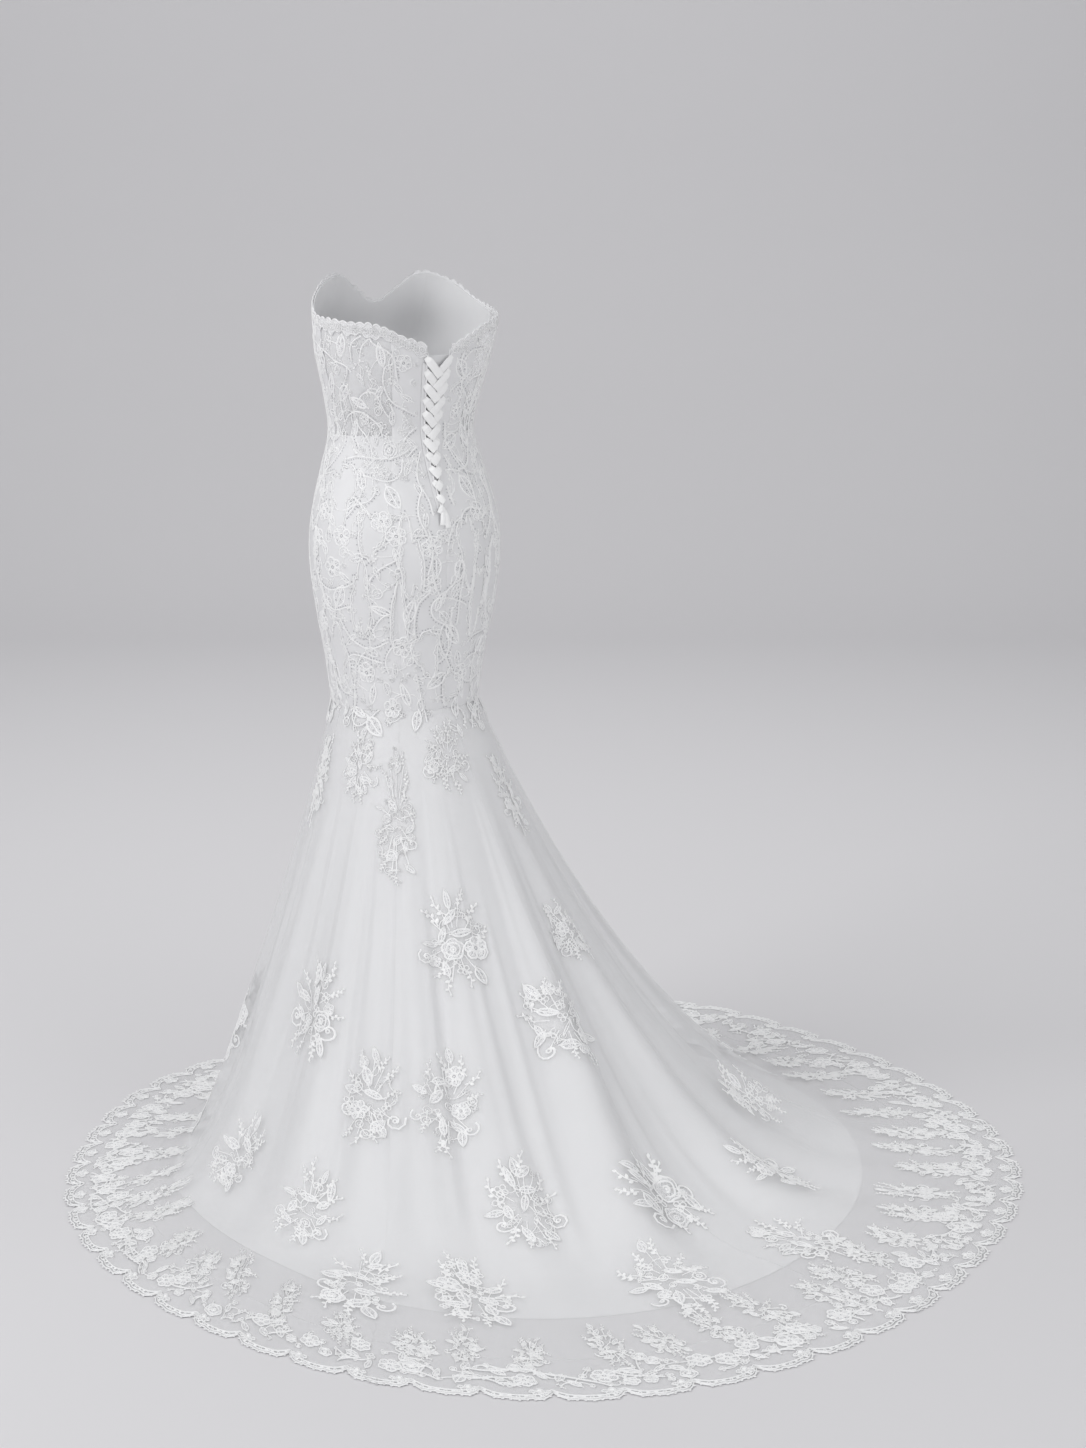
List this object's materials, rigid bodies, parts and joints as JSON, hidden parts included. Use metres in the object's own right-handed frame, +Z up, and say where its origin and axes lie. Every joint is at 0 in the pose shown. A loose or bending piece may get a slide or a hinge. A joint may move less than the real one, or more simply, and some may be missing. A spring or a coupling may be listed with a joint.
{
  "type": "mermaid gown",
  "caption": "Strapless white mermaid gown, laced at the back, close to the knee, with a satin underskirt and a sheer tulle train edged in scalloped lace.",
  "frame": {"origin": "middle of the bodice at the height of the lower ribs, where the gown is held up; the floor that the train lies on is 1.19 m below", "axes": "+Z up, -Y out of the front, +X to the gown's own left, so the laced back and the train face +Y"},
  "size_m": [1.5269, 1.579, 1.3695],
  "materials": {
    "satin": "white satin, soft sheen",
    "bodice_net": "sheer white net under lace",
    "tulle": "sheer white tulle, fine net",
    "lace": "corded white floral lace, matt",
    "ribbon": "white satin ribbon, smooth sheen"
  },
  "bodies": {
    "root": {"front_centre": "satin", "side_front_left": "satin", "side_front_right": "satin", "side_back_left": "satin", "side_back_right": "satin", "side_net_left": "bodice_net", "side_net_right": "bodice_net", "back_left": "satin", "back_right": "satin", "modesty_panel": "satin", "neck_lace_front": "lace", "neck_lace_left": "lace", "neck_lace_right": "lace", "loop_placket_left": "satin", "loop_placket_right": "satin", "lacing_ribbon": "ribbon", "satin_gore_1": "satin", "satin_gore_2": "satin", "satin_gore_3": "satin", "satin_gore_4": "satin", "satin_gore_5": "satin", "satin_gore_6": "satin", "tulle_gore_1": "tulle", "tulle_gore_2": "tulle", "tulle_gore_3": "tulle", "tulle_gore_4": "tulle", "tulle_gore_5": "tulle", "tulle_gore_6": "tulle", "hem_lace_1": "lace", "hem_lace_2": "lace", "hem_lace_3": "lace", "hem_lace_4": "lace", "hem_lace_5": "lace", "hem_lace_6": "lace", "knee_spray_1": "lace", "knee_spray_2": "lace", "knee_spray_3": "lace", "knee_spray_4": "lace", "knee_spray_5": "lace", "knee_spray_6": "lace", "skirt_spray_1": "lace", "skirt_spray_2": "lace", "skirt_spray_3": "lace", "skirt_spray_4": "lace", "skirt_spray_5": "lace", "skirt_spray_6": "lace", "skirt_spray_7": "lace", "skirt_spray_8": "lace", "skirt_spray_9": "lace", "skirt_spray_10": "lace", "skirt_spray_11": "lace", "skirt_spray_12": "lace", "skirt_spray_13": "lace", "skirt_spray_14": "lace", "skirt_spray_15": "lace", "skirt_spray_16": "lace", "skirt_spray_17": "lace", "skirt_spray_18": "lace", "skirt_spray_19": "lace", "skirt_spray_20": "lace"}
  },
  "joints": []
}
